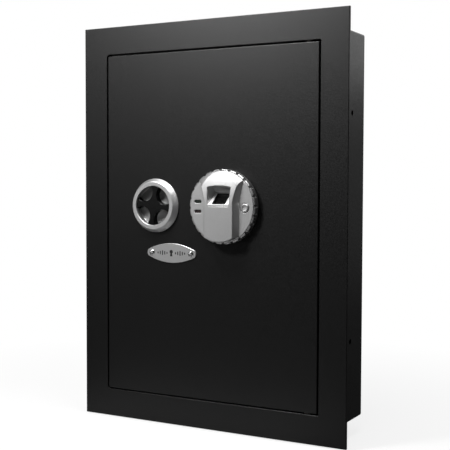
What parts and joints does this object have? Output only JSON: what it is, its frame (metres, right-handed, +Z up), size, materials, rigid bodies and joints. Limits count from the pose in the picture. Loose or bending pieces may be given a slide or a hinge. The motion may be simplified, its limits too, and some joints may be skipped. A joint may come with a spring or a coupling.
{
  "type": "wall safe",
  "caption": "Recessed in-wall safe with a wide flush faceplate, a right-hinged flush door, a fingerprint reader and a finger-well locking knob.",
  "frame": {"origin": "centre of the faceplate's rear plane, the plane that lies on the wall surface", "axes": "+Z up, +X to the right seen from the front, +Y into the wall"},
  "size_m": [0.388, 0.1155, 0.531],
  "materials": {
    "powder_coat": "fine textured satin powder coat",
    "cover_coat": "smooth satin paint",
    "zinc_plate": "bright zinc plate",
    "bolt_steel": "ground and polished",
    "nylon": "moulded nylon",
    "satin_silver": "satin silver lacquer",
    "bright_screw": "bright plated",
    "gloss_black": "high gloss",
    "dark_plastic": "fine satin",
    "sensor_glass": "polished dark glass",
    "lens_green": "tinted translucent",
    "lens_red": "tinted translucent",
    "board_green": "solder mask",
    "cable_black": "sheathed cable",
    "foam": "closed-cell foam",
    "copper": "enamelled copper winding",
    "lock_brass": "turned brass",
    "nickel": "nickel plated spring steel",
    "cell_jacket": "printed shrink sleeve, plain",
    "felt": "needle felt"
  },
  "bodies": {
    "cabinet": {"front_frame": "powder_coat", "body_shell": "powder_coat", "back_panel": "powder_coat", "latch_jamb": "powder_coat", "door_stops": "powder_coat", "hinge_brackets": "powder_coat", "hinge_pins": "zinc_plate", "hinge_washers": "nylon", "shelf_upper": "powder_coat", "shelf_lower": "powder_coat", "shelf_rails": "powder_coat", "floor_mat": "felt"},
    "door": {"door_plate": "powder_coat", "door_hinge_lugs": "powder_coat", "inner_cover": "cover_coat", "cover_posts": "zinc_plate", "cover_screws": "zinc_plate", "bolt_guides": "zinc_plate", "bar_guide_studs": "zinc_plate", "knob_bearing": "nylon", "solenoid_frame": "zinc_plate", "solenoid_coil": "copper", "plunger_spring": "bolt_steel", "lock_barrel": "lock_brass", "key_cover_plate": "satin_silver", "key_cover_screws": "bright_screw", "reader_gasket": "foam", "reader_base": "dark_plastic", "reader_screws": "zinc_plate", "reader_scallop_ring": "satin_silver", "reader_cover": "satin_silver", "sensor_bezel": "satin_silver", "sensor_window": "sensor_glass", "finger_cradle": "satin_silver", "led_lens_green": "lens_green", "led_lens_red": "lens_red", "reader_board": "board_green", "reader_cable": "cable_black", "control_board": "board_green", "board_standoffs": "zinc_plate", "battery_box": "dark_plastic", "batteries": "cell_jacket", "battery_contacts": "nickel"},
    "knob": {"knob_body": "satin_silver", "knob_grip_cross": "gloss_black", "knob_spindle": "bolt_steel", "crank_disc": "zinc_plate", "crank_pin": "bolt_steel", "crank_screw": "zinc_plate"},
    "boltwork": {"bolt_bar": "zinc_plate", "locking_bolts": "bolt_steel", "bolt_rivets": "zinc_plate"},
    "plunger": {"solenoid_plunger": "bolt_steel"},
    "key_plug": {"lock_plug": "lock_brass", "lock_cam": "zinc_plate", "lock_cam_screw": "zinc_plate"},
    "scan_button": {"scan_button": "satin_silver"},
    "program_button": {"program_button": "dark_plastic"},
    "battery_lid": {"battery_lid": "dark_plastic"}
  },
  "joints": [
    {"name": "door_swing", "type": "hinge", "parent": "cabinet", "child": "door", "pos_m": [0.1395, 0.004, 0], "axis": [0, 0, 1], "range_deg": [0, 110]},
    {"name": "knob_turn", "type": "hinge", "parent": "door", "child": "knob", "pos_m": [-0.0782, 0, 0.0255], "axis": [0, -1, 0], "range_deg": [0, 70]},
    {"name": "bolt_slide", "type": "slide", "parent": "door", "child": "boltwork", "axis": [-1, 0, 0], "range_m": [0, 0.0168]},
    {"name": "plunger_lift", "type": "slide", "parent": "door", "child": "plunger", "axis": [0, 0, 1], "range_m": [0, 0.0045], "deforming": ["plunger_spring"]},
    {"name": "key_turn", "type": "hinge", "parent": "door", "child": "key_plug", "pos_m": [-0.0532, 0, -0.037], "axis": [0, 1, 0], "range_deg": [0, 90]},
    {"name": "scan_button_press", "type": "slide", "parent": "door", "child": "scan_button", "axis": [0, 1, 0], "range_m": [0, 0.001]},
    {"name": "program_button_press", "type": "slide", "parent": "door", "child": "program_button", "axis": [0, -1, 0], "range_m": [0, 0.0012]},
    {"name": "battery_lid_slide", "type": "slide", "parent": "door", "child": "battery_lid", "axis": [0, 0, -1], "range_m": [0, 0.063]}
  ],
  "couplings": [
    {"joint": "bolt_slide", "follows": "knob_turn", "m_per_rad": 0.01314}
  ]
}
